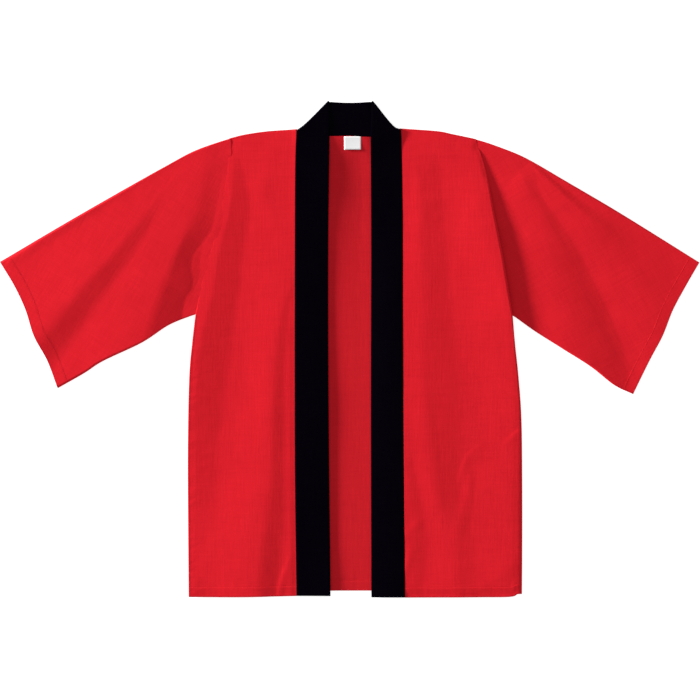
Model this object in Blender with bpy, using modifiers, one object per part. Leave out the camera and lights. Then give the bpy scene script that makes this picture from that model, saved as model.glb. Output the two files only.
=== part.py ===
"""Happi coat laid flat on its back, front side up.

The coat lies on the plane z = 0, hem towards -Y and collar towards +Y. Right and left are the
wearer's: the right front lies on the -X side. Every sewn piece is its own thin wall, and pieces
that are sewn together stay one seam gap apart. All sizes are in metres.
"""

from collections import namedtuple
import math

import bpy
import numpy as np

# Driving sizes
WALL = 0.0012            # cloth of body and sleeves
COLLAR_WALL = 0.0020     # collar band, doubled cloth over an interlining
LABEL_WALL = 0.0010
SEAM_GAP = 0.0003        # between pieces that are sewn or lie on each other
PANEL_GAP = 0.00045      # in the plane, beside the curved seams
# Two layers of a flattened sleeve with the air between them
SLEEVE_FLAT = {"right": 0.0042, "left": 0.0030}
BACK_HEM_Y = -0.4130     # the back lies a little shorter
COLLAR_TOP_Y = 0.4245    # free edge of the collar behind the neck
COLLAR_TOP_DIP = 0.0018  # how far that edge sags at the centre
NECK_SEAM_Y = 0.3651     # lowest point of the back neck seam, at the centre
NECK_SEAM_RISE = 0.0004  # the seam's rise halfway to each shoulder
NECK_SEAM_HALF = 0.045   # halfway, along x
NECK_FREE_HALF = 0.028   # the collar's middle third behind the neck, half its length on the free edge
LABEL_WIDTH = 0.0287
LABEL_HEIGHT = 0.0225
LABEL_X = 0.0047         # the label is sewn on a little off centre
SLEEVE_TUCK = 0.0080     # how far a sleeve's root runs in under the front's rolled edge
CORNER_TRIM = 0.0008     # the back's armhole corners stand clear of the sleeve's rounded folds
ROLL_INSET = 0.0060      # width over which the front's outer edge rolls down
ROLL_OVER = 0.0125       # how far in the front stays clear above the sleeve
ROLL_FALL = 0.0120       # over which it then may come down on the back
COLLAR_FOLD_SHIFT = 0.0014   # the fold's sewn end, up the fold from the front's neck point

BACK_TOP = WALL + SEAM_GAP             # underside of what lies on the back
COLLAR_OVER = 0.0036     # underside of the collar where it folds over itself

Side = namedtuple("Side", "name sign right")
SIDES = (Side("right", -1, True), Side("left", 1, False))

# Corner and edge points. x is measured outwards from the centre line, so one row serves both
# sides: right x, right y, left x, left y.
POINTS = {
    "neck": (0.0900, 0.3757, 0.0872, 0.3772),
    "shoulder_near": (0.1400, 0.3724, 0.1493, 0.3727),
    "shoulder_far": (0.1792, 0.3668, 0.1767, 0.3674),
    "armhole_top": (0.2060, 0.3604, 0.2050, 0.3620),
    "sleeve_turn": (0.2642, 0.3398, 0.2518, 0.3474),
    "sleeve_top_near": (0.3156, 0.3126, 0.3014, 0.3268),
    "sleeve_top_mid": (0.3891, 0.2714, 0.3731, 0.2855),
    "sleeve_top_far": (0.4835, 0.2172, 0.4656, 0.2309),
    "cuff_high": (0.5980, 0.1495, 0.5980, 0.1484),
    "cuff_a": (0.5728, 0.1081, 0.5752, 0.1090),
    "cuff_b": (0.5536, 0.0671, 0.5527, 0.0671),
    "cuff_c": (0.5392, 0.0226, 0.5350, 0.0226),
    "cuff_d": (0.5168, -0.0196, 0.5130, -0.0190),
    "cuff_low": (0.4992, -0.0667, 0.4846, -0.0770),
    "under_a": (0.3090, 0.0414, 0.3148, 0.0320),
    "under_b": (0.3555, 0.0112, 0.3629, 0.0013),
    "under_c": (0.4217, -0.0202, 0.4121, -0.0299),
    "under_d": (0.4542, -0.0411, 0.4518, -0.0611),
    "armhole_a": (0.2118, 0.2900, 0.2262, 0.3070),
    "armhole_b": (0.2290, 0.2000, 0.2470, 0.2330),
    "armhole_c": (0.2512, 0.1250, 0.2612, 0.1550),
    "armpit": (0.2635, 0.0600, 0.2776, 0.0577),
    "side_a": (0.2692, 0.0123, 0.2820, 0.0123),
    "side_b": (0.2745, -0.0493, 0.2884, -0.0493),
    "side_c": (0.2769, -0.1691, 0.2936, -0.1280),
    "side_d": (0.2765, -0.3060, 0.2950, -0.2717),
    "hem_corner": (0.2754, -0.4234, 0.2944, -0.4182),
    "hem_near": (0.2500, -0.4236, 0.2780, -0.4230),
    "hem_mid": (0.1830, -0.4237, 0.2200, -0.4238),
    "seam_neck": (0.0916, 0.3640, 0.0882, 0.3600),
    "seam_a": (0.0936, 0.2553, 0.0901, 0.2553),
    "seam_b": (0.0942, -0.1700, 0.0908, -0.0014),
    "seam_hem": (0.0910, -0.4218, 0.0944, -0.4243),
    "collar_corner": (0.0368, COLLAR_TOP_Y, 0.0395, COLLAR_TOP_Y),
    "free_neck": (0.0345, 0.3640, 0.0354, 0.3640),
    "free_a": (0.0368, 0.1698, 0.0361, 0.1698),
    "free_b": (0.0363, -0.0869, 0.0354, -0.0869),
    "free_hem": (0.0329, -0.4218, 0.0365, -0.4243),
}
EDGES = {
    "shoulder": ("neck", "shoulder_near", "shoulder_far", "armhole_top"),
    "sleeve_top": ("armhole_top", "sleeve_turn", "sleeve_top_near", "sleeve_top_mid",
                   "sleeve_top_far", "cuff_high"),
    "cuff": ("cuff_high", "cuff_a", "cuff_b", "cuff_c", "cuff_d", "cuff_low"),
    "sleeve_under": ("armpit", "under_a", "under_b", "under_c", "under_d", "cuff_low"),
    "armhole": ("armhole_top", "armhole_a", "armhole_b", "armhole_c", "armpit"),
    "side": ("armpit", "side_a", "side_b", "side_c", "side_d", "hem_corner"),
    "collar_seam": ("neck", "seam_neck", "seam_a", "seam_b", "seam_hem"),
    "collar_free": ("free_neck", "free_a", "free_b", "free_hem"),
    "hem": ("seam_hem", "hem_mid", "hem_near", "hem_corner"),
}

# Underside of each front above the ground, along its collar seam and along its outer edge.
Lie = namedtuple("Lie", "y right_seam right_edge left_seam left_edge")
LIE = (
    Lie(0.380, 0.0024, 0.0036, 0.0020, 0.0031),
    Lie(0.345, 0.0034, 0.0034, 0.0034, 0.0031),
    Lie(0.300, 0.0042, 0.0028, 0.0048, 0.0040),
    Lie(0.250, 0.0041, 0.0020, 0.0058, 0.0071),
    Lie(0.200, 0.0038, 0.0016, 0.0063, 0.0090),
    Lie(0.150, 0.0036, 0.0015, 0.0066, 0.0095),
    Lie(0.050, 0.0032, 0.0015, 0.0065, 0.0093),
    Lie(0.000, 0.0031, 0.0015, 0.0061, 0.0078),
    Lie(-0.100, 0.0029, 0.0015, 0.0050, 0.0057),
    Lie(-0.200, 0.0027, 0.0015, 0.0046, 0.0038),
    Lie(-0.300, 0.0023, 0.0015, 0.0042, 0.0024),
    Lie(-0.424, 0.0019, 0.0015, 0.0044, 0.0015),
)

# The largest folds from start over middle to end, x outwards: raised crests, or hollows where
# the height is negative. A fold that runs out over an edge ends beyond it.
Fold = namedtuple("Fold", "piece start middle end half_width height")
FOLDS = (
    Fold("front_right", (0.203, 0.320), (0.242, 0.080), (0.268, -0.260), 0.034, 0.0026),
    Fold("front_right", (0.122, 0.060), (0.136, -0.120), (0.190, -0.600), 0.030, 0.0020),
    Fold("front_left", (0.150, 0.335), (0.186, 0.020), (0.215, -0.560), 0.040, -0.0014),
    Fold("sleeve_right", (0.240, 0.345), (0.305, 0.160), (0.400, -0.080), 0.036, 0.0044),
    Fold("sleeve_right", (0.320, 0.275), (0.425, 0.142), (0.640, -0.080), 0.040, 0.0040),
    Fold("sleeve_left", (0.275, 0.315), (0.342, 0.150), (0.410, -0.150), 0.034, 0.0022),
    Fold("sleeve_left", (0.365, 0.260), (0.434, 0.150), (0.545, -0.090), 0.046, 0.0010),
    Fold("sleeve_left", (0.310, 0.310), (0.372, 0.258), (0.440, 0.198), 0.016, 0.0012),
)

# How much higher the collar's free edge lies than its sewn edge.
Lift = namedtuple("Lift", "y right left")
LIFT = (
    Lift(0.370, 0.0010, 0.0014),
    Lift(0.300, 0.0016, 0.0008),
    Lift(0.250, 0.0010, 0.0000),
    Lift(0.200, 0.0003, -0.0014),
    Lift(0.150, -0.0006, -0.0030),
    Lift(0.100, -0.0014, -0.0036),
    Lift(0.000, -0.0013, -0.0034),
    Lift(-0.100, 0.0000, -0.0026),
    Lift(-0.300, -0.0003, -0.0018),
    Lift(-0.424, 0.0018, -0.0020),
)

# Lengths over which folds rise from the edges and seams of their piece
FRONT_SEAM_FADE = 0.0180
SLEEVE_EDGE_FADE = 0.0120
SLEEVE_ROOT_FLAT, SLEEVE_ROOT_FADE = 0.0120, 0.0180
# The same as shares of a piece's length
FRONT_TOP_FADE = 0.04    # below the shoulder the front rises off the back
EDGE_SETTLE = 0.05       # below the armpit the front's edge comes down on the back
COLLAR_SETTLE = 0.05     # below the neck the collar comes down on the back
FOLD_TAPER = 0.25        # of a fold's own length, at each end

ARMPIT_ROW = 0.4         # share of a front's rows that lie above the armpit
FRONT_COLUMNS = 19       # across a front, closer together towards its outer edge
ARMHOLE_ROWS = 14
SIDE_ROWS = 17
SLEEVE_ROWS = 26
SLEEVE_TOP_COLUMNS = 19
SLEEVE_UNDER_COLUMNS = 5
STRIP_ROWS = 24          # collar, neck to hem
FAN_ROWS = 4             # collar, turning at each shoulder
NECK_ROWS = 12           # collar, behind the neck
BAND_COLUMNS = 4         # across the collar band


def landmark(name, side):
    """A named point of one side, in the plane."""
    row = POINTS[name]
    x, y = row[:2] if side.right else row[2:]
    return np.array((side.sign * x, y))


def smooth_curve(points):
    """A dense Catmull-Rom polyline through the points."""
    points = [np.asarray(p) for p in points]
    points = [2 * points[0] - points[1]] + points + [2 * points[-1] - points[-2]]
    steps = np.linspace(0, 1, 12, endpoint=False)[:, None]
    line = []
    for a, b, c, d in zip(points, points[1:], points[2:], points[3:]):
        line.append(b + 0.5 * steps * (c - a)
                    + steps ** 2 * (a - 2.5 * b + 2 * c - 0.5 * d)
                    + 0.5 * steps ** 3 * (3 * b - a - 3 * c + d))
    return np.vstack(line + [points[-2]])


def along(line, share):
    """Points at the given shares of a polyline's length."""
    steps = np.linalg.norm(np.diff(line, axis=0), axis=1)
    length = np.concatenate(([0], np.cumsum(steps)))
    at = np.asarray(share) * length[-1]
    return np.stack([np.interp(at, length, line[:, k]) for k in (0, 1)], axis=-1)


def edge(name, side):
    return smooth_curve([landmark(point, side) for point in EDGES[name]])


def coons(top, bottom, inner, outer, u, v):
    """Plan points between four edges; top and bottom are sampled at u, inner and outer at v."""
    u = np.asarray(u)[None, :, None]
    v = np.asarray(v)[:, None, None]
    ruled = (1 - v) * top[None] + v * bottom[None] + (1 - u) * inner[:, None] + u * outer[:, None]
    corners = ((1 - u) * (1 - v) * top[0] + u * (1 - v) * top[-1]
               + (1 - u) * v * bottom[0] + u * v * bottom[-1])
    return ruled - corners


def ease(x):
    """Smooth step from 0 to 1."""
    x = np.clip(x, 0, 1)
    return x * x * (3 - 2 * x)


def heights(table, name, y):
    """One column of a table that is read by y."""
    rows = sorted(table)
    return np.interp(y, [row.y for row in rows], [getattr(row, name) for row in rows])


def fold_rise(piece, side, plan):
    """Height that the folds of a piece add at its plan points."""
    rise = np.zeros(plan.shape[:-1])
    for fold in FOLDS:
        if fold.piece != piece:
            continue
        outwards = np.array((side.sign, 1.0))
        crest = smooth_curve([np.array(p) * outwards for p in (fold.start, fold.middle, fold.end)])
        gap = np.linalg.norm(plan[..., None, :] - crest, axis=-1)
        nearest = gap.argmin(axis=-1) / (len(crest) - 1)
        taper = ease(nearest / FOLD_TAPER) * ease((1 - nearest) / FOLD_TAPER)
        bump = np.exp(-(gap.min(axis=-1) / fold.half_width) ** 2)
        rise += fold.height * taper * bump
    return rise


def loft(name, rows, material, thickness, offset, closed=False):
    """A sheet through rows of points, each row closed or open, made a wall by Solidify."""
    count, columns = rows.shape[:2]
    faces = []
    for i in range(count - 1):
        for j in range(columns if closed else columns - 1):
            a, b = i * columns + j, i * columns + (j + 1) % columns
            faces.append((a, b, b + columns, a + columns))
    mesh = bpy.data.meshes.new(name)
    mesh.from_pydata(rows.reshape(-1, 3).tolist(), [], faces)
    mesh.materials.append(material)
    mesh.shade_smooth()
    obj = bpy.data.objects.new(name, mesh)
    coat.objects.link(obj)
    wall = obj.modifiers.new("wall", "SOLIDIFY")
    wall.thickness = thickness
    wall.offset = offset
    wall.use_even_offset = True
    return obj


def flat_piece(name, outline, material, thickness, underside):
    """A flat outline, extruded upwards from its underside."""
    curve = bpy.data.curves.new(name, "CURVE")
    curve.dimensions = "2D"
    curve.fill_mode = "BOTH"
    curve.extrude = thickness / 2
    spline = curve.splines.new("POLY")
    spline.points.add(len(outline) - 1)
    for point, (x, y) in zip(spline.points, outline):
        point.co = (x, y, 0, 1)
    spline.use_cyclic_u = True
    curve.materials.append(material)
    obj = bpy.data.objects.new(name, curve)
    obj.location.z = underside + thickness / 2
    coat.objects.link(obj)
    return obj


def cloth(name, colour, roughness):
    material = bpy.data.materials.new(name)
    material.use_nodes = True
    shader = material.node_tree.nodes["Principled BSDF"]
    shader.inputs["Base Color"].default_value = (*colour, 1)
    shader.inputs["Roughness"].default_value = roughness
    shader.inputs["Metallic"].default_value = 0
    return material


def front_height(side, plan, u, v, from_edge, from_seam):
    """Underside of a front: over the sleeve above the armpit, on the back at its lower edge."""
    at_seam = heights(LIE, side.name + "_seam", plan[..., 1])
    at_edge = heights(LIE, side.name + "_edge", plan[..., 1])
    over_sleeve = SLEEVE_FLAT[side.name] + SEAM_GAP - BACK_TOP
    over_sleeve = over_sleeve * (1 - ease((v[:, None] - ARMPIT_ROW) / EDGE_SETTLE))
    rest = BACK_TOP + over_sleeve * (1 - ease((from_edge - ROLL_OVER) / ROLL_FALL))
    folds = fold_rise("front_" + side.name, side, plan) * ease(from_seam / FRONT_SEAM_FADE)
    height = at_seam + (at_edge - at_seam) * u[None] + folds
    up = np.sin(0.5 * math.pi * np.clip(from_edge / ROLL_INSET, 0, 1))
    return rest + (np.maximum(height, rest) - rest) * up * ease(v / FRONT_TOP_FADE)[:, None]


def make_front(side, material):
    """A front from the collar seam to the side seam, as a sheet over its underside."""
    u = 1 - np.linspace(1, 0, FRONT_COLUMNS) ** 1.4
    v = np.concatenate((np.linspace(0, ARMPIT_ROW, ARMHOLE_ROWS, endpoint=False),
                        np.linspace(ARMPIT_ROW, 1, SIDE_ROWS)))
    gap = np.array((side.sign * PANEL_GAP, 0))
    above = v[v < ARMPIT_ROW] / ARMPIT_ROW
    below = (v[v >= ARMPIT_ROW] - ARMPIT_ROW) / (1 - ARMPIT_ROW)
    outer = np.vstack((along(edge("armhole", side), above), along(edge("side", side), below)))
    inner = along(edge("collar_seam", side), v) + gap
    top = along(edge("shoulder", side), u) + (1 - u)[:, None] * gap
    bottom = along(edge("hem", side), u) + (1 - u)[:, None] * gap
    plan = coons(top, bottom, inner, outer, u, v)
    width = np.linalg.norm(outer - inner, axis=1)[:, None]
    from_edge = (1 - u)[None, :] * width
    from_seam = u[None, :] * width
    rows = np.dstack((plan, front_height(side, plan, u, v, from_edge, from_seam)))
    return loft("front_" + side.name, rows if side.right else rows[:, ::-1], material, WALL, 1)


def sleeve_plan(side):
    """Rows of a sleeve in the plane, root to cuff, as dense lines from top to under edge."""
    v = np.linspace(0, 1, 49)
    u = np.linspace(0, 1, SLEEVE_ROWS)
    root = along(edge("armhole", side), v)
    root[:, 0] -= side.sign * SLEEVE_TUCK * np.sin(math.pi * v)
    return coons(root, along(edge("cuff", side), v), along(edge("sleeve_top", side), u),
                 along(edge("sleeve_under", side), u), v, u)


def under_shares(side, width):
    """Where the columns of a sleeve's under layer stand, as shares of the row's width."""
    inset = SLEEVE_FLAT[side.name] / 2 / width
    return np.linspace(inset, 1 - inset, SLEEVE_UNDER_COLUMNS)


def make_sleeve(side, material):
    """A sleeve as a flattened tube, its under layer on the floor, open at root and cuff."""
    flat = SLEEVE_FLAT[side.name]
    radius = flat / 2
    turn = np.radians((-45, 0, 45))
    edge_inset = radius * (1 - np.cos(turn))
    edge_height = radius * (1 + np.sin(turn))
    name = "sleeve_" + side.name
    rings = []
    plan = sleeve_plan(side)
    for line in plan:
        width = np.linalg.norm(np.diff(line, axis=0), axis=1).sum()
        over = np.linspace(radius, width - radius, SLEEVE_TOP_COLUMNS)
        over_plan = along(line, over / width)
        from_root = np.linalg.norm(over_plan[:, None] - plan[0][None], axis=2).min(axis=1)
        fade = ease((over - radius) / SLEEVE_EDGE_FADE)
        fade *= ease((width - radius - over) / SLEEVE_EDGE_FADE)
        fade *= ease((from_root - SLEEVE_ROOT_FLAT) / SLEEVE_ROOT_FADE)
        rise = fade * fold_rise(name, side, over_plan)
        under_plan = along(line, under_shares(side, width))[::-1]
        top_edge = along(line, edge_inset / width)
        under_edge = along(line, 1 - edge_inset / width)[::-1]
        ring = np.vstack((top_edge, over_plan, under_edge, under_plan))
        height = np.concatenate((edge_height, flat + rise, edge_height[::-1],
                                 np.zeros(len(under_plan))))
        rings.append(np.column_stack((ring, height)))
    rings = np.array(rings)
    return loft(name, rings[:, ::-1] if side.right else rings, material, WALL, -1, closed=True)


def collar_fold(side):
    """Axis of the collar's fold at one shoulder: its sewn end, free end and outward direction."""
    neck, corner = landmark("neck", side), landmark("collar_corner", side)
    line = (corner - neck) / np.linalg.norm(corner - neck)
    outward = np.array((-line[1], line[0])) * -side.sign
    inset = (COLLAR_OVER + COLLAR_WALL) / 2
    return neck - outward * inset + line * COLLAR_FOLD_SHIFT, corner - outward * inset, outward


def neck_seam():
    """Sewn edge of the collar behind the neck, from the right shoulder to the left."""
    right, left = (collar_fold(side)[0] for side in SIDES)
    middle = [(-NECK_SEAM_HALF, NECK_SEAM_Y + NECK_SEAM_RISE), (0, NECK_SEAM_Y),
              (NECK_SEAM_HALF, NECK_SEAM_Y + NECK_SEAM_RISE)]
    return along(smooth_curve([right, *middle, left]), np.linspace(0, 1, NECK_ROWS + 1))


def band_row(sewn, free, height, lift=0.0):
    """One row of points across the collar band, its free edge raised by lift."""
    w = np.linspace(0, 1, BAND_COLUMNS + 1)
    plan = sewn + (free - sewn) * w[:, None]
    return np.column_stack((plan, height + lift * w ** 2))


def collar_half(side):
    """Rows of the band from the hem up to the fold at one shoulder, and round that fold."""
    half = COLLAR_WALL / 2
    shares = np.linspace(1, 0, STRIP_ROWS + 1)
    sewn = along(edge("collar_seam", side), shares)
    free = along(edge("collar_free", side), shares)
    lift = heights(LIFT, side.name, free[:, 1])
    level = heights(LIE, side.name + "_seam", sewn[:, 1])
    level = half + level + (COLLAR_OVER - level) * (1 - ease(shares / COLLAR_SETTLE))
    rows = [band_row(*row) for row in zip(sewn, free, level, lift)]
    fold_sewn, fold_free, outward = collar_fold(side)
    for share in np.linspace(0, 1, FAN_ROWS + 1)[1:]:
        rows.append(band_row(sewn[-1] + (fold_sewn - sewn[-1]) * share,
                             free[-1] + (fold_free - free[-1]) * share,
                             level[-1], lift[-1] * (1 - share)))
    radius = COLLAR_OVER / 2
    for turn in np.radians((45, 90, 135)):
        shift = outward * radius * math.sin(turn)
        height = half + radius + radius * math.cos(turn)
        rows.append(band_row(fold_sewn + shift, fold_free + shift, height))
    return rows


def make_collar(material):
    """One band: up the right front, round the back of the neck, down the left front."""
    right_free, left_free = (collar_fold(side)[1] for side in SIDES)
    share = np.linspace(0, 1, NECK_ROWS + 1)
    free_x = np.interp(share, (0, 0.35, 0.65, 1),
                       (right_free[0], -NECK_FREE_HALF, NECK_FREE_HALF, left_free[0]))
    free_y = right_free[1] - COLLAR_TOP_DIP * np.clip(1 - (free_x / right_free[0]) ** 2, 0, 1)
    free = np.column_stack((free_x, free_y))
    behind = [band_row(a, b, COLLAR_WALL / 2) for a, b in zip(neck_seam(), free)]
    rows = collar_half(SIDES[0]) + behind + collar_half(SIDES[1])[::-1]
    return loft("collar", np.array(rows), material, COLLAR_WALL, 0)


def back_side(side):
    """Outline of the back on one side, from the neck down to its hem."""
    root = sleeve_plan(side)[0]
    width = np.linalg.norm(np.diff(root, axis=0), axis=1).sum()
    shares = np.concatenate(([0], under_shares(side, width), [1]))
    armhole = along(root, shares) - (side.sign * PANEL_GAP, 0)
    armhole[[0, 1, -2, -1], 0] -= side.sign * CORNER_TRIM
    shoulder = along(edge("shoulder", side), np.linspace(0.01, 0.97, 9))
    lower = along(edge("side", side), np.linspace(0.02, 0.96, 14))
    corner = np.array((lower[-1][0], BACK_HEM_Y))
    return np.vstack((shoulder, armhole, lower, corner))


def make_back(material):
    right, left = (back_side(side) for side in SIDES)
    neck = neck_seam() - (0, PANEL_GAP)
    return flat_piece("back", np.vstack((neck, left, right[::-1])), material, WALL, 0)


def make_label(material):
    top = neck_seam()[:, 1].min() - PANEL_GAP
    left, right = LABEL_X - LABEL_WIDTH / 2, LABEL_X + LABEL_WIDTH / 2
    outline = [(left, top - LABEL_HEIGHT), (right, top - LABEL_HEIGHT), (right, top), (left, top)]
    return flat_piece("neck_label", outline, material, LABEL_WALL, BACK_TOP)


for old in list(bpy.data.objects):
    bpy.data.objects.remove(old)
coat = bpy.data.collections.new("happi_coat")
bpy.context.scene.collection.children.link(coat)

red_cotton = cloth("red cotton", (0.67, 0.012, 0.022), 0.9)
black_cotton = cloth("black cotton", (0.004, 0.003, 0.006), 0.9)
label_tape = cloth("white label tape", (0.85, 0.85, 0.84), 0.7)

make_back(red_cotton)
for side in SIDES:
    make_front(side, red_cotton)
    make_sleeve(side, red_cotton)
make_collar(black_cotton)
make_label(label_tape)
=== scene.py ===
import math

import bpy
import numpy as np
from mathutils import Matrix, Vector


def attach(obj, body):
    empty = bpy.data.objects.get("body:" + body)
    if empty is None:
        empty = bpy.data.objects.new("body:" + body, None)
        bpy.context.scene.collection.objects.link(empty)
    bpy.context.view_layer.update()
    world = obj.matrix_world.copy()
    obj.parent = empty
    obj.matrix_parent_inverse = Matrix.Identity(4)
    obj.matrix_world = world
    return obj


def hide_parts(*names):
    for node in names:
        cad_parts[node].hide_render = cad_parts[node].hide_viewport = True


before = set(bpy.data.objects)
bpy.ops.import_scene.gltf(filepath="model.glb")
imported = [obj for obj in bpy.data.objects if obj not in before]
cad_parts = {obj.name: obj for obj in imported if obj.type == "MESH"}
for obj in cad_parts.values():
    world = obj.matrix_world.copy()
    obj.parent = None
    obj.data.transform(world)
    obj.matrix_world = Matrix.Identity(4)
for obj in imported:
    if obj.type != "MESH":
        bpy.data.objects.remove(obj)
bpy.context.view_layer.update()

print("frame loaded:", ", ".join(sorted(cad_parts)))

fineness = 1.0      # mesh density

# Points of the coat's edges on its right and its left side, x outwards from the centre line and
# y up the coat. Right and left are the wearer's: the right side lies towards -X.
landmarks = {
    "neck": ((0.09, 0.3757), (0.0872, 0.3772)), "shoulderNear": ((0.14, 0.3724), (0.1493, 0.3727)),
    "shoulderFar": ((0.1792, 0.3668), (0.1767, 0.3674)),
    "armholeTop": ((0.206, 0.3604), (0.215, 0.3596)), "armholeA": ((0.2118, 0.29), (0.2325, 0.307)),
    "armholeB": ((0.229, 0.2), (0.247, 0.233)), "armholeC": ((0.25, 0.125), (0.2632, 0.15)),
    "armpit": ((0.2635, 0.06), (0.278, 0.0585)), "sleeveTurn": ((0.2642, 0.3398), (0.2518, 0.3474)),
    "sleeveTopA": ((0.3156, 0.3126), (0.3014, 0.3268)),
    "sleeveTopB": ((0.3891, 0.2714), (0.3731, 0.2855)),
    "sleeveTopC": ((0.4835, 0.2172), (0.4656, 0.2309)), "cuffHigh": ((0.598, 0.1495), (0.598, 0.1484)),
    "cuffA": ((0.5728, 0.1081), (0.5752, 0.109)), "cuffB": ((0.5536, 0.0671), (0.5527, 0.0671)),
    "cuffC": ((0.5392, 0.0226), (0.535, 0.0226)), "cuffD": ((0.5168, -0.0196), (0.513, -0.019)),
    "cuffLow": ((0.4992, -0.0667), (0.4846, -0.077)), "underA": ((0.309, 0.0414), (0.3148, 0.032)),
    "underB": ((0.3555, 0.0112), (0.3629, 0.0013)), "underC": ((0.4217, -0.0202), (0.4121, -0.0299)),
    "underD": ((0.4542, -0.0411), (0.4518, -0.0611)), "sideA": ((0.2692, 0.0123), (0.2819, 0.0123)),
    "sideB": ((0.2745, -0.0493), (0.2884, -0.0493)), "sideC": ((0.2769, -0.1691), (0.2936, -0.128)),
    "sideD": ((0.2765, -0.306), (0.295, -0.2717)), "hemCorner": ((0.2754, -0.4234), (0.2944, -0.4182)),
    "hemNear": ((0.25, -0.4236), (0.278, -0.423)), "hemMid": ((0.183, -0.4237), (0.22, -0.4238)),
    "seamNeck": ((0.0916, 0.364), (0.0888, 0.345)), "seamA": ((0.0936, 0.2553), (0.0909, 0.2)),
    "seamB": ((0.0939, -0.17), (0.0912, -0.0014)), "seamHem": ((0.091, -0.4218), (0.0946, -0.4243)),
    "collarCorner": ((0.0368, 0.425), (0.0395, 0.425)), "freeNeck": ((0.0345, 0.364), (0.0357, 0.364)),
    "freeA": ((0.0368, 0.1698), (0.0366, 0.1698)), "freeB": ((0.0363, -0.0869), (0.0361, -0.0869)),
    "freeHem": ((0.0329, -0.4218), (0.0369, -0.4243)),
}
edges = {
    "shoulder": ("neck", "shoulderNear", "shoulderFar", "armholeTop"),
    "sleeveTop": ("armholeTop", "sleeveTurn", "sleeveTopA", "sleeveTopB", "sleeveTopC", "cuffHigh"),
    "cuff": ("cuffHigh", "cuffA", "cuffB", "cuffC", "cuffD", "cuffLow"),
    "sleeveUnder": ("armpit", "underA", "underB", "underC", "underD", "cuffLow"),
    "armhole": ("armholeTop", "armholeA", "armholeB", "armholeC", "armpit"),
    "side": ("armpit", "sideA", "sideB", "sideC", "sideD", "hemCorner"),
    "collarSeam": ("neck", "seamNeck", "seamA", "seamB", "seamHem"),
    "collarFree": ("freeNeck", "freeA", "freeB", "freeHem"),
    "hem": ("seamHem", "hemMid", "hemNear", "hemCorner"),
}
signs = {"right": -1, "left": 1}


# Curves and sheets in the plane

def landmark(name, side):
    x, y = landmarks[name][0 if side == "right" else 1]
    return np.array((signs[side] * x, y))


def smoothCurve(points, steps=16):
    points = [np.asarray(p, dtype=float) for p in points]
    points = [2 * points[0] - points[1]] + points + [2 * points[-1] - points[-2]]
    t = np.linspace(0, 1, steps, endpoint=False)[:, None]
    line = [b + 0.5 * t * (c - a) + t ** 2 * (a - 2.5 * b + 2 * c - 0.5 * d)
            + 0.5 * t ** 3 * (3 * b - a - 3 * c + d)
            for a, b, c, d in zip(points, points[1:], points[2:], points[3:])]
    return np.vstack(line + [points[-2]])


def along(line, share):
    steps = np.linalg.norm(np.diff(line[:, :2], axis=0), axis=1)
    length = np.concatenate(([0], np.cumsum(steps)))
    at = np.asarray(share) * length[-1]
    return np.stack([np.interp(at, length, line[:, k]) for k in range(line.shape[1])], axis=-1)


def edge(name, side):
    return smoothCurve([landmark(point, side) for point in edges[name]])


def coons(top, bottom, inner, outer, u, v):
    u = np.asarray(u)[None, :, None]
    v = np.asarray(v)[:, None, None]
    ruled = (1 - v) * top[None] + v * bottom[None] + (1 - u) * inner[:, None] + u * outer[:, None]
    corners = ((1 - u) * (1 - v) * top[0] + u * (1 - v) * top[-1]
               + (1 - u) * v * bottom[0] + u * v * bottom[-1])
    return ruled - corners


def ease(x):
    x = np.clip(x, 0, 1)
    return x * x * (3 - 2 * x)


def quarterRound(x):
    return np.sqrt(1 - (1 - np.clip(x, 0, 1)) ** 2)


def table(rows, at):
    # columns of a table of rows (place, value ...), read at the given places
    rows = np.array(sorted(rows))
    values = [np.interp(at, rows[:, 0], rows[:, k]) for k in range(1, rows.shape[1])]
    return values[0] if len(values) == 1 else values


def packed(count, length, tight, lines=()):
    # shares from 0 to 1, crowded into the tight distance at both ends and round any lines, each
    # given by its place and reach from the far end
    few = max(3, int(6 * fineness))
    ends = tight / length * np.linspace(0, 1, few + 1)
    parts = [ends, np.linspace(ends[-1], 1 - ends[-1], count)[1:-1], 1 - ends[::-1]]
    for place, reach, steps in lines:
        parts.append(1 - (place + reach * np.linspace(-1, 1, max(5, int(steps * fineness)))) / length)
    return np.unique(np.concatenate(parts).round(6))


def alongSheet(rows, distance):
    # line across a grid of points at a distance from its last row
    toEnd = np.cumsum(np.linalg.norm(np.diff(rows[::-1], axis=0), axis=2), axis=0)[::-1]
    toEnd = np.vstack((toEnd, np.zeros((1, rows.shape[1]))))
    return np.array([[np.interp(-distance, -toEnd[:, j], rows[:, j, k]) for k in range(3)]
                     for j in range(rows.shape[1])])


# Relief. A fold's rows are x, y, lead, fall, height: a crest through the points, from the top
# down, that rises over lead on its -X side and comes down over fall on its +X side.

def slopeDown(x, crown, foot):
    # 1 to 0 over x from 0 to 1, an even slope rounded at its crown and its foot
    x = np.clip(x, 0, 1)
    whole = 1 - (crown + foot) / 2
    gone = np.where(x < crown, x * x / (2 * crown),
                    np.where(x > 1 - foot, whole - (1 - x) ** 2 / (2 * foot), x - crown / 2))
    return 1 - gone / whole


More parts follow.
